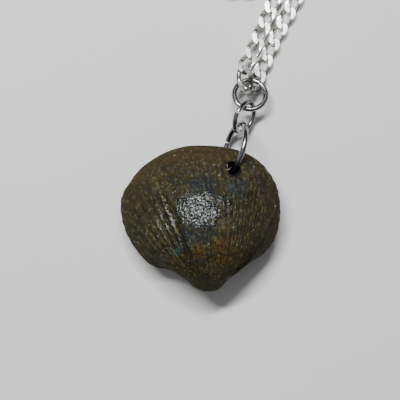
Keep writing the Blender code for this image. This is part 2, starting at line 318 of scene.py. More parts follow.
class Finish(Nodes):
    """A material on a Principled shader. Constants are set on the shader's own sockets."""

    def __init__(self, name, **constants):
        self.material = bpy.data.materials.new(name)
        self.material.use_nodes = True
        super().__init__(self.material.node_tree)
        self.shader = self.tree.nodes["Principled BSDF"]
        self.set(**constants)
        self.where = self.node("ShaderNodeTexCoord", None, None, "Object")

    def set(self, **sockets):
        for name, value in sockets.items():
            self.put(self.shader.inputs[name.replace("_", " ")], value)

    def attribute(self, name, output="Fac"):
        """What the mesh's points carry under this name."""
        return self.node("ShaderNodeAttribute", {"attribute_name": name}, None, output)

    def mapped(self, vector, **changes):
        """The vector, moved, turned or scaled."""
        return self.node("ShaderNodeMapping", None, {"Vector": vector, **changes})

    def noise(self, size, detail, rough=0.5, where=None):
        """Noise whose lumps are about this many millimetres across, from 0 to 1."""
        return self.node("ShaderNodeTexNoise", None, {
            "Vector": where or self.where, "Scale": 1.0 / (size * MM), "Detail": detail, "Roughness": rough})

    def cells(self, size, output, where=None):
        """Cells about this many millimetres across, each around its own random middle."""
        return self.node("ShaderNodeTexVoronoi", None, {
            "Vector": where or self.where, "Scale": 1.0 / (size * MM)}, output)

    def grains(self, size, where=None):
        """A random value from 0 to 1 for each grain of this size."""
        colour = self.cells(size, "Color", where)
        return self.node("ShaderNodeSeparateColor", None, {"Color": colour}, "Red")

    def ease(self, value, low, high, start=0.0, end=1.0):
        """Goes smoothly from start to end as the value goes from low to high."""
        return self.node("ShaderNodeMapRange", {"interpolation_type": "SMOOTHSTEP"}, {
            "Value": value, "From Min": low, "From Max": high, "To Min": start, "To Max": end})

    def mix(self, first, second, share):
        """The first colour, with this share of it turned into the second."""
        colours = {MIX_FIRST: first, MIX_SECOND: second}
        return self.node("ShaderNodeMix", {"data_type": "RGBA"}, {"Factor": share, **colours}, MIX_RESULT)

    def spot(self, middle, reach, ragged=0.6, flat=1.0):
        """A ragged patch around a place in millimetres, seen from above: 1 inside, 0 past its reach."""
        x, y = middle
        moved = self.mapped(
            self.where, Location=(-x / reach, -y * flat / reach, 0.0),
            Scale=(1.0 / (reach * MM), flat / (reach * MM), 0.0))
        far = self.node("ShaderNodeVectorMath", {"operation": "LENGTH"}, {0: moved}, "Value")
        edge = far + (self.noise(SPOT_RAGS, 4.0) - 0.5) * (2 * ragged)
        return self.ease(edge, 1.0, SPOT_CORE)

    def bump(self, height, depth):
        """A normal from a height from 0 to 1 and a depth in millimetres."""
        return self.node("ShaderNodeBump", None, {
            "Height": height, "Distance": depth * MM, "Strength": 1.0}, "Normal")


# ------------------------------------ the fossil

PLACES = 430               # around each growth line
UPPER_ROWS = 142
LOWER_ROWS = 62
ROW_CROWDING = 1.3         # the growth lines lie closer together towards the margin
MARGIN_LENGTH = 73.7
GROWTH_LENGTH = 30.0       # of the upper valve, from the margin to the beak

# Places around the margin are shares of its length. Rows go from 0 at the margin to 1 at the beak.
RIB_DRIFT = 0.08           # how far the ribs turn around the shell on their way to the beak
RIB_WANDER = 0.0016
RIB_SEED = 6
LEFT_GROOVE = 0.617        # the deepest groove, at the left of the middle band
LEFT_STEP = 0.0265         # from one left groove to the next
LEFT_COUNT = 10
GROOVE_WIDTH = 0.0052
RIGHT_GROOVE = 0.452
RIGHT_STEP = -0.022
RIGHT_COUNT = 3
RIGHT_WIDTH = 0.6 * GROOVE_WIDTH
RIGHT_RIB_WIDTH = 0.005
NICK = 0.664               # a nick in the margin
NICK_WIDTH = 0.006
NICK_DRIFT = 0.04
# Where something begins, is full, wanes and ends
MIDDLE_BAND = (0.452, 0.47, 0.595, 0.612)
RIGHT_FLANK = (0.2, 0.27, 0.42, 0.45)
RIGHT_EDGE = (0.11, 0.16, 0.33, 0.39)
LEFT_EDGE = (0.62, 0.68, 0.8, 0.86)
BACK_ENDS = (0.16, 0.24)
BACK_BEGINS = (0.86, 0.92)
MIDDLE_PITCH = 0.0215      # from one faint rib to the next, on each part of the valves
FLANK_PITCH = 0.0125
BACK_PITCH = 0.017
LOWER_PITCH = 0.026
RIGHT_SCALLOPS = 0.0205
LEFT_SCALLOPS = 0.027

# Depths and heights of the relief, in millimetres
LEFT_DEPTH = 0.24
LEFT_FADE = 0.86           # each next groove is about this share of the one before
RIB_HEIGHT = 0.36
RIB_FADE = 0.75            # and each next rib this share
RIGHT_DEPTH = 0.13
RIGHT_FADE = 0.55
RIGHT_RIB = 0.05
MIDDLE_RIBS = 0.05
FLANK_RIBS = 0.05
BACK_RIBS = 0.022
LOWER_RIBS = 0.07
SWELLS = 0.13
SMALL_SWELLS = 0.05
GRIT = 0.03
BEAK_GRIT = 0.05           # added to it at the beak
STEP_TRACK = 26.0          # how far apart in the noise the first and the last growth step are
STEP_BREAKS = 0.12         # how soon a growth step changes along itself
STEP_STRENGTH = 0.55
FINE_STEPS = 0.018
FINE_STEPS_OUTSIDE = 0.04  # added to it towards the margin
BROAD_STEPS = 0.03
BROAD_STEPS_OUTSIDE = 0.06
PIT_DEPTH = 0.15
SMALL_PIT_DEPTH = 0.07
BEAK_PIT_DEPTH = 0.09      # added to it at the beak
PIT_REACH = 0.34           # a share of the pit's cell
NICK_DEPTH = 0.14
CREVICE = 0.1              # where the valves meet
CREVICE_WIDTH = 0.22
SINK = 0.05                # keeps the relief within the plain shape
SCALLOP = 0.045            # half the depth of the margin's waves
HOLE_SIDES = 56
HOLE_TAPER = 0.1           # the hole is this much narrower below
RIM_WEAR = 0.16            # around the drilled hole
RIM_REACH = 0.32


def growth_lines(valve, places, rows):
    """A valve from its margin to its beak. Each row is the margin, shrunk and turned about the beak's tip."""
    margin = smooth_line(MARGIN, places, closed=True)
    track = smooth_line(valve, rows)
    tip = track[-1]
    from_tip = track - tip
    size = np.hypot(from_tip[:, 0], from_tip[:, 1])
    size /= size[0]
    turn = np.unwrap(np.arctan2(from_tip[:-1, 1], from_tip[:-1, 0]))
    turn = np.append(turn, turn[-1]) - turn[0]
    across = margin[:, 0] - BEAK_X
    along = margin[:, 1] - tip[0]
    lift = FRONT_LIFT * np.exp(-((margin[:, 0] - FRONT_X) / FRONT_LIFT_REACH) ** 2) * (margin[:, 1] > 0)
    grid = []
    for shrink, angle, row in zip(size, turn, rows):
        up = lift * (1 - row) ** 2 - tip[1]
        y = tip[0] + shrink * (along * math.cos(angle) - up * math.sin(angle))
        z = tip[1] + shrink * (along * math.sin(angle) + up * math.cos(angle))
        width = shrink ** (WIDTH_POWER + TIP_POWER * (1 - shrink) ** TIP_LATE)
        grid.append(np.stack([BEAK_X + across * width, y, z + MARGIN_HEIGHT], 1))
    return np.array(grid)


def outward(grid, sign):
    """Normals of a grid of points, by differences along its rows and columns."""
    along = np.roll(grid, -1, 1) - np.roll(grid, 1, 1)
    down = np.gradient(grid, axis=0)
    return sign * unit(np.cross(along, down))


def between(values, low, high):
    """Goes smoothly from 0 to 1 as the values go from low to high."""
    t = np.clip((values - low) / (high - low), 0, 1)
    return t * t * (3 - 2 * t)


def within(values, begins, full, wanes, ends):
    """Goes smoothly from 0 to 1 between the first two values, and back to 0 between the last two."""
    return between(values, begins, full) * (1 - between(values, wanes, ends))


def waves(at, pitch, wander):
    """A wave around the margin, from -1 to 1."""
    return np.cos(at * (2 * math.pi / pitch) + wander)


def lumps(grid, size, seed, detail=1):
    """Smooth noise, about -1 to 1, with lumps about this many millimetres across."""
    shift = Vector((17.3, 5.1, 29.7)) * seed
    flat = [noise.fractal(Vector(p) / size + shift, 1.0, 2.0, detail) for p in grid.reshape(-1, 3)]
    return np.array(flat).reshape(grid.shape[:-1])


def pits(grid, size, share, seed):
    """Round pits in a share of the cells of this size: 1 in the middle of a pit, 0 outside."""
    shift = Vector((3.1, 7.7, 1.9)) * seed
    deep = []
    for p in grid.reshape(-1, 3):
        distances, cells = noise.voronoi(Vector(p) / size + shift)
        chosen = noise.cell(cells[0] * 9.7) * 0.5 + 0.5 < share
        deep.append(math.exp(-(distances[0] / PIT_REACH) ** 2) if chosen else 0.0)
    return np.array(deep).reshape(grid.shape[:-1])


def rib_relief(at, row, wobble):
    """The grooves, ribs and fine striae that run from the beak to the margin, in millimetres outwards."""
    at = at + RIB_WANDER * wobble
    chance = np.random.default_rng(RIB_SEED)
    left = np.zeros_like(at)
    middle = LEFT_GROOVE
    for i in range(LEFT_COUNT):
        step = LEFT_STEP * chance.uniform(0.8, 1.2)
        deep = 1.0 if i == 0 else chance.uniform(0.45, 0.75) * LEFT_FADE**i
        left -= LEFT_DEPTH * deep * np.exp(-((at - middle) / GROOVE_WIDTH) ** 2)
        # A rib climbs slowly from its groove and drops into the next one
        ramp = (at - middle) / step
        left += RIB_HEIGHT * RIB_FADE**i * np.clip(ramp / 0.75, 0, 1) * (1 - between(ramp, 0.7, 1.0))
        middle += step
    fade = 0.17 * (1 - between(at, 0.64, 0.76))
    left *= between(row, fade, fade + 0.17)
    right = np.zeros_like(at)
    for i in range(RIGHT_COUNT):
        middle = RIGHT_GROOVE + i * RIGHT_STEP
        right -= RIGHT_DEPTH * RIGHT_FADE**i * np.exp(-((at - middle) / RIGHT_WIDTH) ** 2)
        right += RIGHT_RIB * np.exp(-((at - middle - 0.4 * RIGHT_STEP) / RIGHT_RIB_WIDTH) ** 2)
    right *= between(row, 0.26, 0.42)
    centre = within(at, *MIDDLE_BAND) * between(row, 0.44, 0.62)
    low = MIDDLE_RIBS * waves(at, MIDDLE_PITCH, 1.5 * wobble) * centre
    flank = within(at, *RIGHT_FLANK) * between(row, 0.08, 0.3)
    low += FLANK_RIBS * waves(at, FLANK_PITCH, 2.5 * wobble) * flank
    back = (1 - between(at, *BACK_ENDS)) + between(at, *BACK_BEGINS)
    low += BACK_RIBS * waves(at, BACK_PITCH, 2.0 * wobble) * back
    return (left + right + low) * (1 - between(row, 0.6, 0.88))


def growth_relief(grid, row):
    """The fine concentric steps left as the shell grew, strongest towards the margin."""
    track = np.stack([row * STEP_TRACK, STEP_BREAKS * grid[..., 0], STEP_BREAKS * grid[..., 1]], -1)
    fine = lumps(track, 1.0, 4, 2)
    broad = lumps(track, 2.7, 9)
    outer = 1 - between(row, 0.22, 0.5)
    fine *= FINE_STEPS + FINE_STEPS_OUTSIDE * outer
    broad *= BROAD_STEPS + BROAD_STEPS_OUTSIDE * outer
    return STEP_STRENGTH * (fine + broad)


def scallops(at, row, wobble):
    """The wavy margin at both sides, where the ribs end: how far it lies inwards, in millimetres."""
    dips = within(at, *RIGHT_EDGE) * (1 + waves(at, RIGHT_SCALLOPS, 2.0 * wobble))
    dips += within(at, *LEFT_EDGE) * (1 + waves(at, LEFT_SCALLOPS, 3.0 * wobble))
    return SCALLOP * dips * (1 - between(row, 0.0, 0.14))


def hole_wear(grid):
    """How far the rim of the drilled hole is worn down, in millimetres."""
    top = np.array(HOLE_TOP)
    axis = unit(top - np.array(HOLE_BOTTOM))
    from_top = grid - top
    out = np.linalg.norm(from_top - (from_top @ axis)[..., None] * axis, axis=-1)
    return RIM_WEAR * np.exp(-((np.maximum(out - HOLE_RADIUS, 0) / RIM_REACH) ** 2))


def carve(grid, places, rows, sign):
    """Pushes a valve's points in and out for its relief, and gives the relief in millimetres."""
    row = np.repeat(rows[:, None], len(places), 1)
    at = places[None, :] + RIB_DRIFT * row
    normals = outward(grid, sign)
    wobble = lumps(grid, 2.6, 1)
    rough_end = between(row, 0.78, 0.95)
    relief = growth_relief(grid, row)
    if sign > 0:
        relief += rib_relief(at, row, wobble)
    else:
        relief += LOWER_RIBS * waves(at, LOWER_PITCH, wobble) * between(row, 0.05, 0.3)
    grit = (GRIT + BEAK_GRIT * rough_end) * lumps(grid, 0.75, 3, 2)
    relief += SWELLS * lumps(grid, 4.2, 2) + SMALL_SWELLS * wobble + grit
    inner = between(row, 0.15, 0.4)
    small = SMALL_PIT_DEPTH * inner + BEAK_PIT_DEPTH * rough_end
    relief -= PIT_DEPTH * inner * pits(grid, 1.5, 0.28, 1) + small * pits(grid, 0.75, 0.4, 2)
    relief -= hole_wear(grid)
    nick = np.exp(-((at - NICK_DRIFT * row - NICK) / NICK_WIDTH) ** 2)
    relief -= NICK_DEPTH * nick * (1 - between(row, 0.0, 0.12))
    relief *= between(row, 0.0, 0.03)
    margin_out = unit((grid[0] - grid[0].mean(0)) * (1, 1, 0))
    from_margin = row * GROWTH_LENGTH
    crevice = CREVICE * np.exp(-((from_margin / CREVICE_WIDTH) ** 2)) * (1 + 0.5 * wobble[:1])
    pushed = relief - SINK * between(row, 0.0, 0.03)
    inwards = crevice + scallops(at, row, wobble)
    return grid + normals * pushed[..., None] - margin_out[None] * inwards[..., None], relief - crevice


def drill_hole(fossil):
    """Cuts the hole with a cylinder, which is then gone."""
    top = Vector(HOLE_TOP) * MM
    bottom = Vector(HOLE_BOTTOM) * MM
    axis = top - bottom
    mesh = bpy.data.meshes.new("drill")
    shape = bmesh.new()
    beyond = 1.5     # how far the drill reaches past each end, in lengths of the hole
    bmesh.ops.create_cone(
        shape, cap_ends=True, segments=HOLE_SIDES, radius1=(HOLE_RADIUS - (1 + beyond) * HOLE_TAPER) * MM,
        radius2=(HOLE_RADIUS + beyond * HOLE_TAPER) * MM, depth=(1 + 2 * beyond) * axis.length)
    turned = axis.to_track_quat("Z", "Y").to_matrix().to_4x4()
    bmesh.ops.transform(shape, matrix=Matrix.Translation((top + bottom) / 2) @ turned, verts=shape.verts)
    shape.to_mesh(mesh)
    shape.free()
    cutter = bpy.data.objects.new("drill", mesh)
    bpy.context.collection.objects.link(cutter)
    hole = fossil.modifiers.new("hole", "BOOLEAN")
    hole.operation = "DIFFERENCE"
    hole.solver = "EXACT"
    hole.object = cutter
    drilled = made_plain(fossil, "fossil_shell", sharp_angle=60)
    bpy.data.objects.remove(cutter, do_unlink=True)
    return drilled


def valve_skin(valve, count, sign):
    """A valve's carved points, their relief, and where each lies on the unrolled shell."""
    places = np.arange(PLACES) / PLACES
    rows = np.linspace(0, 1, count) ** ROW_CROWDING
    grid = growth_lines(valve, places, rows)
    carved, relief = carve(grid, places, rows, sign)
    carved[..., 2] = np.maximum(carved[..., 2], 0.0)
    turn = 2 * math.pi * (places[None, :] + RIB_DRIFT * rows[:, None])
    reach = MARGIN_LENGTH / (2 * math.pi)
    along = np.repeat(rows[:, None], PLACES, 1) * GROWTH_LENGTH * sign
    growth = np.stack([reach * np.cos(turn), reach * np.sin(turn), along], -1) * MM
    return carved, relief, growth


def one_list(upper, lower):
    """The values of both valves as one list, with one value for each tip and the shared margin only once."""
    parts = (upper[:-1], upper[-1:, :1], lower[1:-1], lower[-1:, :1])
    return np.concatenate([part.reshape(-1, *part.shape[2:]) for part in parts])


def skin_faces(starts, here, after, tip):
    """Faces between rows of points, from the number that each row starts at, and around the tip."""
    faces = []
    for first, second in zip(starts, starts[1:]):
        faces += np.stack([first + here, first + after, second + after, second + here], 1).tolist()
    return faces + np.stack([starts[-1] + here, starts[-1] + after, np.full(PLACES, tip)], 1).tolist()


def add_fossil(finish):
    """Both valves as one closed shape, with the values that its finish reads, and drilled."""
    skins = zip(valve_skin(UPPER_VALVE, UPPER_ROWS, 1), valve_skin(LOWER_VALVE, LOWER_ROWS, -1))
    points, relief, growth = (one_list(upper, lower) for upper, lower in skins)
    upper_tip = PLACES * (UPPER_ROWS - 1)
    upper_starts = [row * PLACES for row in range(UPPER_ROWS - 1)]
    lower_starts = [0] + [upper_tip + 1 + row * PLACES for row in range(LOWER_ROWS - 2)]
    here = np.arange(PLACES)
    after = (here + 1) % PLACES
    faces = skin_faces(upper_starts, here, after, upper_tip)
    faces += skin_faces(lower_starts, after, here, len(points) - 1)
    fossil = add_mesh("fossil_blank", points, faces)
    add_values(fossil, "growth", "FLOAT_VECTOR", growth)
    add_values(fossil, "relief", "FLOAT", relief)
    add_values(fossil, "shell", "FLOAT", np.ones(len(points)))
    shell = drill_hole(fossil)
    shell.data.materials.clear()
    shell.data.materials.append(finish)
    return shell


# ------------------------------------ the chain

def around_coil(turn, out, height):
    """A place by its degrees around the coil, how far out it is, and its height."""
    angle = math.radians(turn)
    return (COIL_MIDDLE[0] + out * math.cos(angle), COIL_MIDDLE[1] + out * math.sin(angle), height)


def coil_line(out, turns):
    """A helix from where the strand joins the coil."""
    count = round(turns * COIL_STEPS)
    return [around_coil(COIL_ENTRY + 360 * turns * i / count, out, LAY_HEIGHT + COIL_RISE * turns * i / count)
            for i in range(count + 1)]


def step_along(points, pitch):
    """Joints along a smooth line through these points, each one pitch straight on from the last."""
    line = smooth_line(points, np.linspace(0, 1, LINE_STEPS * len(points)))
    joints = [np.array(points[0], float)]
    at = 0
    while True:
        far = np.linalg.norm(line[at:] - joints[-1], axis=1)
        ahead = np.nonzero(far >= pitch)[0]
        if not len(ahead):
            return np.array(joints)
        at += ahead[0]
        before = line[at - 1]
        after = line[at]
        near = np.linalg.norm(before - joints[-1])
        share = (pitch - near) / max(np.linalg.norm(after - joints[-1]) - near, 1e-6)
        joints.append(before + share * (after - before))


def link_recipe():
    """Curb links on points: each link is a twisted oval of wire, ground flat above and below."""
    recipe = Recipe(
        "curb_links", Link_Length="Float", Link_Side="Float", Wire="Float", Swell="Float", Twist="Float",
        Ground_Height="Float", Seed="Int", Finish="Material")
    grind = recipe.input("Ground Height")
    # Where a point is: each node that uses these reads them from its own shape
    place = recipe.node("GeometryNodeInputPosition")
    x, y, z = (recipe.part(place, number) for number in range(3))

    def joined(x, y, z):
        return recipe.node("ShaderNodeCombineXYZ", None, {0: x, 1: y, 2: z})

    def link(steps, sides):
        ring = recipe.circle(steps, 1.0)
        lean = x * y * recipe.input("Twist") * -2.0
        twisted = joined(x * recipe.input("Link Length"), y * recipe.input("Link Side"), lean)
        oval = recipe.node("GeometryNodeSetPosition", None, {"Geometry": ring, "Position": twisted})
        wire = recipe.node("GeometryNodeCurveToMesh", None, {
            "Curve": oval, "Profile Curve": recipe.circle(sides, recipe.input("Wire"))})
        swell = recipe.input("Swell") * (z / recipe.input("Twist")).math("ABSOLUTE")
        level = recipe.node("ShaderNodeVectorMath", {"operation": "MULTIPLY"}, {
            0: recipe.node("GeometryNodeInputNormal"), 1: (1.0, 1.0, 0.0)})
        push = recipe.node("ShaderNodeVectorMath", {"operation": "SCALE"}, {0: level, "Scale": swell})
        swollen = recipe.node("GeometryNodeSetPosition", None, {"Geometry": wire, "Offset": push})
        level = z.math("MINIMUM", z.math("MAXIMUM", z, -grind), grind)
        cut = z.math("GREATER_THAN", z.math("ABSOLUTE", z), grind)
        marked = recipe.node("GeometryNodeStoreNamedAttribute", None, {
            "Geometry": swollen, "Name": "ground", "Value": cut})
        return recipe.node("GeometryNodeSetPosition", None, {
            "Geometry": marked, "Position": joined(x, y, level)})

    def read(name, kind):
        return recipe.node("GeometryNodeInputNamedAttribute", {"data_type": kind}, {"Name": name})

    turned = recipe.node("FunctionNodeAxesToRotation", {"primary_axis": "X", "secondary_axis": "Z"}, {
        0: read("ahead", "FLOAT_VECTOR"), 1: read("up", "FLOAT_VECTOR")})
    close = read("close", "BOOLEAN")
    far = recipe.node("FunctionNodeBooleanMath", {"operation": "NOT"}, {0: close})
    together = recipe.tree.nodes.new("GeometryNodeJoinGeometry")
    for chosen, shape in ((close, link(*CLOSE_LINK)), (far, link(*FAR_LINK))):
        laid = recipe.node("GeometryNodeInstanceOnPoints", None, {
            "Points": recipe.input("Geometry"), "Selection": chosen, "Instance": shape, "Rotation": turned})
        chance = recipe.node("FunctionNodeRandomValue", None, {"Seed": recipe.input("Seed")}, 1)
        tinted = recipe.node("GeometryNodeStoreNamedAttribute", {"domain": "INSTANCE"}, {
            "Geometry": laid, "Name": "tint", "Value": chance})
        recipe.tree.links.new(tinted.socket, together.inputs[0])
    recipe.finish(Value(recipe, together.outputs[0]))
    return recipe


def link_ups(middles, ahead, last_up):
    """Which way each link's flat side faces, away from the bail ring's wire in the loop and up elsewhere,
    and how much it belongs to the loop. The last link faces the way that is given."""
    ups = np.tile((0.0, 0.0, 1.0), (len(middles), 1))
    from_wire = middles - np.array(LOOP_WIRE)
    far = np.linalg.norm(from_wire, axis=1)
    around = unit(from_wire - (from_wire @ LOOP_AXIS)[:, None] * LOOP_AXIS)
    # Under the wire the flat side faces the wire instead, so that no link turns over
    around *= np.where(around[:, 2:] < -0.2, -1.0, 1.0)
    share = np.clip((LOOP_REACH - far) / LOOP_FADE, 0, 1)[:, None]
    ups = ups * (1 - share) + around * share
    ups[-1] = last_up
    return unit(ups - ahead * (ups * ahead).sum(1)[:, None]), share


def add_chain(name, recipe, joints, finish, last_up, seed):
    """A strand of links, one between each two joints."""
    ahead = unit(np.diff(joints, axis=0))
    middles = 0.5 * (joints[1:] + joints[:-1])
    ups, bent = link_ups(middles, ahead, last_up)
    across = np.cross(ups, ahead)
    half = LINK_WIRE + LINK_SWELL
    # No link goes below the surface
    tilted = np.hypot((LINK_LENGTH + half) * ahead[:, 2], (LINK_SIDE + half) * across[:, 2])
    middles[:, 2] = np.maximum(middles[:, 2], tilted + LINK_GRIND * ups[:, 2])
    points = add_mesh(name + "_points", middles, [])
    add_values(points, "ahead", "FLOAT_VECTOR", ahead)
    add_values(points, "up", "FLOAT_VECTOR", ups)
    add_values(points, "bent", "FLOAT", bent)
    add_values(points, "close", "BOOLEAN", middles[:, 1] < CLOSE_END)
    return recipe.apply_to(
        points, name, sharp_angle=32, Link_Length=LINK_LENGTH * MM, Link_Side=LINK_SIDE * MM,
        Wire=LINK_WIRE * MM, Swell=LINK_SWELL * MM, Twist=LINK_TWIST * MM, Ground_Height=LINK_GRIND * MM,
        Seed=seed, Finish=finish)


def chain_joints():
    """The joints of the left and the right strand, from the bail ring to the clasp."""
    loop = smooth_line(LOOP_ROUTE, np.linspace(0, 1, LOOP_STEPS + 1))
    lowest = int(loop[:, 1].argmin())
    middle = loop[lowest]
    half_away = np.linalg.norm(loop - middle, axis=1) >= 0.5 * PITCH
    before = int(np.nonzero(half_away[:lowest])[0].max())
    after = lowest + int(np.nonzero(half_away[lowest:])[0].min())
    left = [*loop[before::-LOOP_SKIP], *LEFT_ROUTE, *coil_line(COIL_INNER, LEFT_TURNS)]
    left += [around_coil(*place) for place in LEFT_END]
    right = [*loop[after::LOOP_SKIP], *RIGHT_ROUTE, *coil_line(COIL_OUTER, RIGHT_TURNS)]
    right += [around_coil(*place) for place in RIGHT_END]
    return np.vstack([right[0], step_along(left, PITCH)]), step_along(right, PITCH)


# ------------------------------------ rings and clasp

WIRE_SIDES = 24
RING_PLACES = 96           # along a ring's wire


def wire_recipe():
    """Round wire along a line, with closed ends."""
    recipe = Recipe("bent_wire", Wire="Float", Sides="Int", Finish="Material")
    line = recipe.node("GeometryNodeMeshToCurve", None, {"Mesh": recipe.input("Geometry")})
    section = recipe.circle(recipe.input("Sides"), recipe.input("Wire"))
    recipe.finish(recipe.node("GeometryNodeCurveToMesh", None, {
        "Curve": line, "Profile Curve": section, "Fill Caps": True}))
    return recipe


def ring_line(ring, cut):
    """The wire's line around a jump ring, from one side of its cut to the other."""
    middle = np.array(ring["middle"], float)
    far = np.array(ring["far"], float)
    radius = np.linalg.norm(far)
    side = np.array(ring["side"], float)
    side -= far * (side @ far) / radius**2
    side *= radius / np.linalg.norm(side)
    half_cut = 0.5 * cut / radius
    start = math.radians(ring["cut"])
    turns = np.linspace(start + half_cut, start + 2 * math.pi - half_cut, RING_PLACES)
    return middle + np.cos(turns)[:, None] * far + np.sin(turns)[:, None] * side


def hook_line():
    """The hook's wire, flat: an open eye, a straight shank, the bend, and a tip that turns out."""
    half = HOOK_SHANK / 2
    line = []
    for angle in range(-5, 271, 25):
        turn = math.radians(angle)
        line.append((-half + HOOK_EYE * math.cos(turn), HOOK_EYE * math.sin(turn), 0.0))
    line += [(-HOOK_STRAIGHT, -HOOK_EYE, 0.0), (HOOK_STRAIGHT, -HOOK_EYE, 0.0)]
    for angle in range(-90, 91, 30):
        turn = math.radians(angle)
        line.append((half + HOOK_BEND * math.cos(turn), HOOK_BEND * (1 + math.sin(turn)) - HOOK_EYE, 0.0))
    tip = 2 * HOOK_BEND - HOOK_EYE
    return line + [(half - HOOK_TIP[0], tip, 0.0), (half - HOOK_TIP[1], tip + HOOK_TIP_OUT, 0.0)]


def on_coil(line):
    """Turns a line shaped about the hook's middle to its place on top of the coil."""
    turn = math.radians(CLASP_ANGLE)
    ahead = np.array((-math.sin(turn), math.cos(turn), 0.0))
    out = np.array((math.cos(turn), math.sin(turn), 0.0))
    line = np.asarray(line, float)
    place = np.array((*COIL_MIDDLE, CLASP_HEIGHT)) + out * CLASP_OUT
    return place + line[:, :1] * ahead - line[:, 1:2] * out + line[:, 2:] * (0.0, 0.0, 1.0)


def add_wire(name, recipe, line, wire, finish):
    """Wire of this radius along a line."""
    path = add_mesh(name + "_line", line, [])
    first = np.arange(len(line) - 1)
    path.data.edges.add(len(first))
    path.data.edges.foreach_set("vertices", np.stack([first, first + 1], 1).ravel())
    path.data.update()
    return recipe.apply_to(
        path, name, sharp_angle=50, Wire=wire * MM, Sides=WIRE_SIDES, Finish=finish)


# ------------------------------------ finishes

OLIVE_DARK = (0.014, 0.012, 0.002)
OLIVE = (0.030, 0.024, 0.004)
OLIVE_PALE = (0.055, 0.048, 0.018)
OLIVE_BAND = (0.035, 0.0235, 0.007)
# Painted warm bounce light, a warm-brown tint for the steep parts near the margin
WARM_BOUNCE = (0.038, 0.020, 0.005)
SHADE = (0.008, 0.006, 0.002)
GRAIN = (0.092, 0.084, 0.042)
# Painted glints, as tiny pale specks
PAINTED_GLINT = (0.30, 0.28, 0.22)
FLECK = (0.08, 0.085, 0.012)
SLATE_GRAIN = (0.026, 0.042, 0.042)
# Painted shade, for the deepest grooves and inside the hole
SHADE_BLACK = (0.004, 0.003, 0.002)
RING_STEEL = {"light": (0.30, 0.31, 0.32), "dull": (0.17, 0.17, 0.18), "rough": 0.09, "scratch": 0.1}
CHAIN_STEEL = {"light": (0.78, 0.76, 0.71), "dull": (0.45, 0.43, 0.39), "rough": 0.16, "scratch": 0.12,
               "ground": (0.93, 0.95, 0.98)}
# Painted shade for the links bent around the bail ring
LOOP_SHADE = (0.15, 0.145, 0.13)
PAPER_DARK = (0.66, 0.65, 0.64)
PAPER_LIGHT = (0.69, 0.685, 0.675)
# The slate and mist patches are partly the shell's dark blue-grey film and partly painted blue-grey sheen
STAINS_AND_SHEEN = {
    "slate_and_sheen": (0.004, 0.011, 0.012), "gold": (0.055, 0.034, 0.003), "rust": (0.09, 0.028, 0.006),
    "teal": (0.03, 0.095, 0.06), "violet": (0.03, 0.04, 0.10), "lime": (0.09, 0.10, 0.008),
    "rose": (0.10, 0.055, 0.04), "mist_and_sheen": (0.020, 0.032, 0.029)}
# Where each stain or painted sheen patch lies, seen from above: (x, y), how far it reaches, how flat it is,
# and how strong
PATCHES = {
    "slate_and_sheen": [((-0.5, 5.6), 3.1, 1.3, 1.0), ((4.9, 5.5), 2.6, 1.2, 1.0), ((-1.0, -1.2), 4.1, 1.7, 1.0),
              ((-3.4, -3.2), 2.4, 1.0, 0.8), ((-0.8, 2.4), 5.0, 1.4, 0.9)],
    "gold": [((2.1, -4.8), 1.9, 0.7, 0.8), ((-1.0, -4.8), 1.2, 0.6, 0.5), ((4.5, -4.0), 2.4, 0.9, 0.3)],
    "mist_and_sheen": [((4.9, 5.5), 2.2, 1.1, 0.8), ((-3.9, 2.2), 1.1, 0.7, 0.5), ((-2.2, -2.6), 1.6, 1.2, 0.4)],
    "rust": [((2.45, -3.1), 0.9, 0.8, 0.9), ((-1.2, -4.4), 0.7, 0.5, 0.5)],
    "teal": [((-4.5, -4.5), 0.7, 0.8, 0.55), ((-5.6, -4.6), 0.5, 1.0, 0.45)],
    "violet": [((-3.9, -3.9), 0.5, 1.0, 0.55)],
    "lime": [((-5.4, 8.0), 0.5, 1.0, 0.9), ((-1.3, 7.4), 0.45, 0.8, 0.8), ((9.4, 8.3), 0.6, 1.0, 0.7),
             ((-4.3, 9.3), 0.3, 1.0, 0.6)],
    "rose": [((8.7, 4.3), 0.7, 0.9, 0.5), ((2.9, -0.6), 0.5, 0.5, 0.5)],
}

HANDLED_PLACE = (-1.5, 2.0)
DULL_FLANK = (-9.8, -3.7)


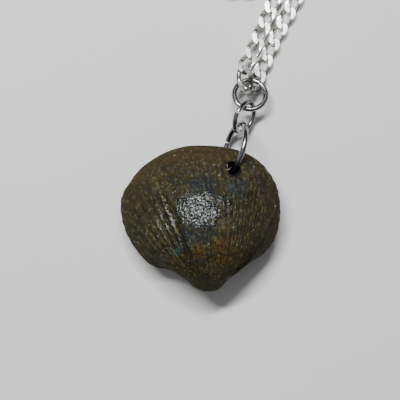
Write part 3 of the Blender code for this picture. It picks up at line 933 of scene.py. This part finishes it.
def fossil_finish():
    """Dark olive-brown fossil shell: gritty, stained in patches, and handled until its high parts shine, with
    painted sheen, glints, warm bounce light and shade in its colour.
    """
    made = Finish("fossil_stone", IOR=1.32)
    growth = made.attribute("growth", "Vector")
    relief = made.attribute("relief")
    shell = made.attribute("shell")
    from_margin = made.part(growth, 2)
    sideways = made.part(made.where, 0)
    forward = made.part(made.where, 1)

    def stretched(*scales):
        return made.mapped(growth, Scale=scales)

    ribs = made.noise(0.8, 4.0, 0.62, stretched(1.0, 1.0, 0.1))
    stripes = made.noise(1.7, 3.0, 0.55, stretched(1.0, 1.0, 0.05))
    rings = made.noise(0.9, 5.0, 0.6, stretched(0.1, 0.1, 1.3))
    mottle = made.noise(2.2, 6.0, 0.62)
    fine = made.noise(0.5, 5.0, 0.65)
    grain = made.noise(0.24, 3.0, 0.6)
    chance = made.grains(0.36, stretched(1.0, 1.0, 0.6))
    fleck = made.grains(0.4)
    glint_grains = made.grains(0.26)
    # The deepest grooves, where shade is painted and the finish is rougher
    hollow = made.ease(relief, -0.08, -0.25)

    # The smooth band along the front margin
    edge = made.ease(from_margin + 0.006 * mottle, 8.0 * MM, 4.0 * MM) * made.ease(forward, 2 * MM, 7 * MM)
    edge = edge * made.ease(sideways + 0.008 * mottle, 11 * MM, 6 * MM)
    handled = made.spot(HANDLED_PLACE, 6.4, flat=1.8, ragged=0.9)
    grit = (1.0 - 0.85 * edge) * (1.0 - 0.6 * handled)

    colour = made.mix(OLIVE_DARK, OLIVE, made.ease(mottle, 0.35, 0.65))
    colour = made.mix(colour, OLIVE_PALE, 0.6 * made.ease(ribs, 0.5, 0.66) * grit)
    # Stains, and blue-grey patches that are partly the shell's own film and partly painted sheen
    for name, patches in PATCHES.items():
        for middle, reach, flat, share in patches:
            colour = made.mix(colour, STAINS_AND_SHEEN[name], made.spot(middle, reach, flat=flat) * share)
    # Painted warm bounce light: the steep parts near the margin are tinted warm brown
    colour = made.mix(colour, WARM_BOUNCE, 0.55 * made.ease(from_margin, 7.5 * MM, 2.5 * MM))
    colour = made.mix(colour, OLIVE_BAND, edge)
    colour = made.mix(colour, SHADE, 0.75 * made.ease(ribs, 0.48, 0.32) * grit)
    colour = made.mix(colour, SHADE, 0.5 * made.ease(stripes, 0.49, 0.37) * grit)
    colour = made.mix(colour, SHADE, 0.65 * made.ease(rings, 0.5, 0.36))
    colour = made.mix(colour, SHADE, 0.9 * made.ease(fine, 0.5, 0.4) * grit)
    colour = made.mix(colour, SHADE, 0.5 * made.ease(chance, 0.45, 0.15) * grit)
    colour = made.mix(colour, GRAIN, 0.6 * made.ease(chance, 0.7, 0.9) * made.ease(grain, 0.45, 0.58) * grit)
    pale_flecks = made.ease(fleck, 0.92, 0.96) * made.ease(mottle, 0.42, 0.6)
    colour = made.mix(colour, FLECK, 0.45 * pale_flecks * grit)
    slate_flecks = made.ease(fleck, 0.16, 0.08) * made.ease(mottle, 0.55, 0.4)
    colour = made.mix(colour, SLATE_GRAIN, 0.5 * slate_flecks * grit)
    # Painted glints: tiny pale specks scattered over the shell
    colour = made.mix(colour, PAINTED_GLINT, 0.6 * made.ease(glint_grains, 0.975, 0.985) * made.ease(fine, 0.5, 0.6))
    # Painted shade: the deepest grooves are darkened nearly to black
    colour = made.mix(colour, SHADE_BLACK, 0.85 * hollow)
    # The hole's wall has no shell on it, and is painted black as shade inside the hole
    colour = made.mix(SHADE_BLACK, colour, shell)

    flank = made.spot(DULL_FLANK, 3.4, flat=0.8, ragged=0.3)
    worn = made.ease(relief, 0.0, 0.12) * made.ease(from_margin, 5 * MM, 10 * MM, 0.0, 0.75) * (1.0 - flank)
    worn = worn + handled
    pores = made.ease(made.cells(0.5, "Distance"), 0.12, 0.5)
    pitted = made.noise(0.25, 1.0, 0.4)
    swells = made.noise(1.5, 2.0, 0.5)
    rough = (0.5 * grain + 0.55 * fine) * (1.0 - 0.8 * handled) + 0.4 * pores + 0.25 * ribs
    height = rough * (1.0 - 0.6 * edge) + (0.55 * pitted + 1.3 * swells) * handled
    made.set(
        Base_Color=colour, Roughness=made.ease(worn, 0.1, 0.6, 0.78, 0.12) + 0.3 * hollow + 0.1 * edge,
        Normal=made.bump(height, 0.115))
    return made.material


def steel_finish(name, light, dull, rough, scratch, ground=None):
    """Polished steel with fine scratches and an uneven grey film, brighter where it is ground, and darkened
    by painted shade in the chain's loop.
    """
    made = Finish(name, Metallic=1.0)
    film = made.noise(1.4, 3.0, 0.6)
    along = made.mapped(made.where, Scale=(1.0, 0.16, 1.0), Rotation=(0.3, 0.2, 0.5))
    scratches = made.noise(0.12, 2.0, 0.6, along)
    colour = made.mix(light, dull, made.ease(film, 0.4, 0.75))
    roughness = rough + 0.12 * made.ease(film, 0.35, 0.75) + scratch * scratches
    if ground:
        face = made.attribute("ground")
        tint = made.attribute("tint")
        bent = made.attribute("bent")
        flat = made.mix(ground, dull, 0.35 * made.ease(tint, 0.6, 1.0))
        colour = made.mix(colour, flat, made.ease(face, 0.3, 0.8))
        # Painted shade: the links bent around the bail ring are darkened
        colour = made.mix(colour, LOOP_SHADE, made.ease(bent, 0.1, 0.8, 0.0, 0.75))
        roughness = roughness + 0.12 * face
    made.set(Base_Color=colour, Roughness=roughness, Normal=made.bump(scratches, 0.006))
    return made.material


# ------------------------------------ light, floor and camera

# Name, place, what it faces, width and height in millimetres, power in watts
LIGHTS = [
    ("key", (-10, 190, 340), (0, 2, 8), 260, 260, 0.05),
    ("glint", (-56, 163, 330), (0, 2, 8), 216, 30, 2.35),
    ("glow", (-14, 180, 335), (0, 2, 8), 240, 140, 0.06),
    ("side", (-330, -60, 190), (0, 5, 5), 200, 200, 0.06),
]
FLOOR_REACH = 4000
SKY_STRENGTH = 0.55
# From below to above: (place, colour)
SKY = [(0.0, (0.05, 0.05, 0.05)), (0.45, (0.10, 0.10, 0.105)), (0.8, (0.4, 0.4, 0.41)),
       (1.0, (0.75, 0.75, 0.77))]


def add_light(name, place, aim, width, height, power):
    data = bpy.data.lights.new(name, "AREA")
    data.shape = "RECTANGLE"
    data.size = width * MM
    data.size_y = height * MM
    data.energy = power
    light = bpy.data.objects.new(name, data)
    light.location = Vector(place) * MM
    light.rotation_euler = (Vector(aim) - Vector(place)).to_track_quat("-Z", "Y").to_euler()
    bpy.context.collection.objects.link(light)


def add_studio():
    """The floor, the sky and the lights."""
    corners = [(x * FLOOR_REACH, y * FLOOR_REACH, 0) for x, y in ((-1, -1), (1, -1), (1, 1), (-1, 1))]
    floor = add_mesh("floor", corners, [(0, 1, 2, 3)])
    paper = Finish("floor_paper", Roughness=0.85, Specular_IOR_Level=0.2)
    paper.set(Base_Color=paper.mix(PAPER_DARK, PAPER_LIGHT, paper.noise(60.0, 2.0)))
    floor.data.materials.append(paper.material)
    world = bpy.data.worlds.new("studio")
    bpy.context.scene.world = world
    world.use_nodes = True
    sky = Nodes(world.node_tree)
    background = world.node_tree.nodes["Background"]
    way = sky.node("ShaderNodeTexCoord", None, None, "Generated")
    shade = sky.node("ShaderNodeValToRGB", {"stops": SKY}, {"Fac": sky.part(way, 2)}, "Color")
    sky.put(background.inputs["Color"], shade)
    background.inputs["Strength"].default_value = SKY_STRENGTH
    for light in LIGHTS:
        add_light(*light)


def add_camera():
    """A camera that looks straight down at the middle of the view."""
    data = bpy.data.cameras.new("camera")
    data.sensor_width = SENSOR
    data.lens = SENSOR * VIEW_DISTANCE / VIEW_SIDE
    data.clip_start = 0.01
    camera = bpy.data.objects.new("camera", data)
    camera.location = (VIEW_MIDDLE[0] * MM, VIEW_MIDDLE[1] * MM, (MARGIN_HEIGHT + VIEW_DISTANCE) * MM)
    bpy.context.collection.objects.link(camera)
    bpy.context.scene.camera = camera


# ------------------------------------ the pendant

def main():
    add_camera()
    stone = fossil_finish()
    ring_steel = steel_finish("ring_steel", **RING_STEEL)
    chain_steel = steel_finish("chain_steel", **CHAIN_STEEL)

    wires = wire_recipe()
    clasp = []
    for name, ring in RINGS.items():
        wire = add_wire(name + "_wire", wires, ring_line(ring, RING_CUT), ring["wire"], ring_steel)
        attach(wire, "root")
        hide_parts(name)
    for name, ring in CLASP_RINGS.items():
        line = on_coil(ring_line(ring, CLASP_CUT))
        wire = add_wire(name + "_wire", wires, line, CLASP_WIRE, chain_steel)
        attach(wire, "root")
        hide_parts(name)
        clasp.append(wire)
    line = on_coil(smooth_line(hook_line(), np.linspace(0, 1, HOOK_PLACES)))
    hook = add_wire("clasp_hook_wire", wires, line, HOOK_WIRE, chain_steel)
    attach(hook, "root")
    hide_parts("clasp_hook")

    links = link_recipe()
    left_joints, right_joints = chain_joints()
    # The last link of each strand stands square to the ring that it hangs in
    middle, side = on_coil([(0.0, 0.0, 0.0), CLASP_RINGS["clasp_ring"]["side"]])
    last_up = unit(side - middle)
    strands = (
        ("left_chain", left_joints, ["chain_left", "chain_loop"], [clasp[0], hook], 3),
        ("right_chain", right_joints, ["chain_right", "chain_coil"], [clasp[1]], 8))
    for name, joints, nodes, fittings, seed in strands:
        chain = add_chain(name, links, joints, chain_steel, last_up, seed)
        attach(chain, "root")
        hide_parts(*nodes)
        tuple(joints[0] * MM)
        [tuple(p * MM) for p in joints]

    shell = add_fossil(stone)
    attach(shell, "root")
    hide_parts("fossil")
    add_studio()


main()
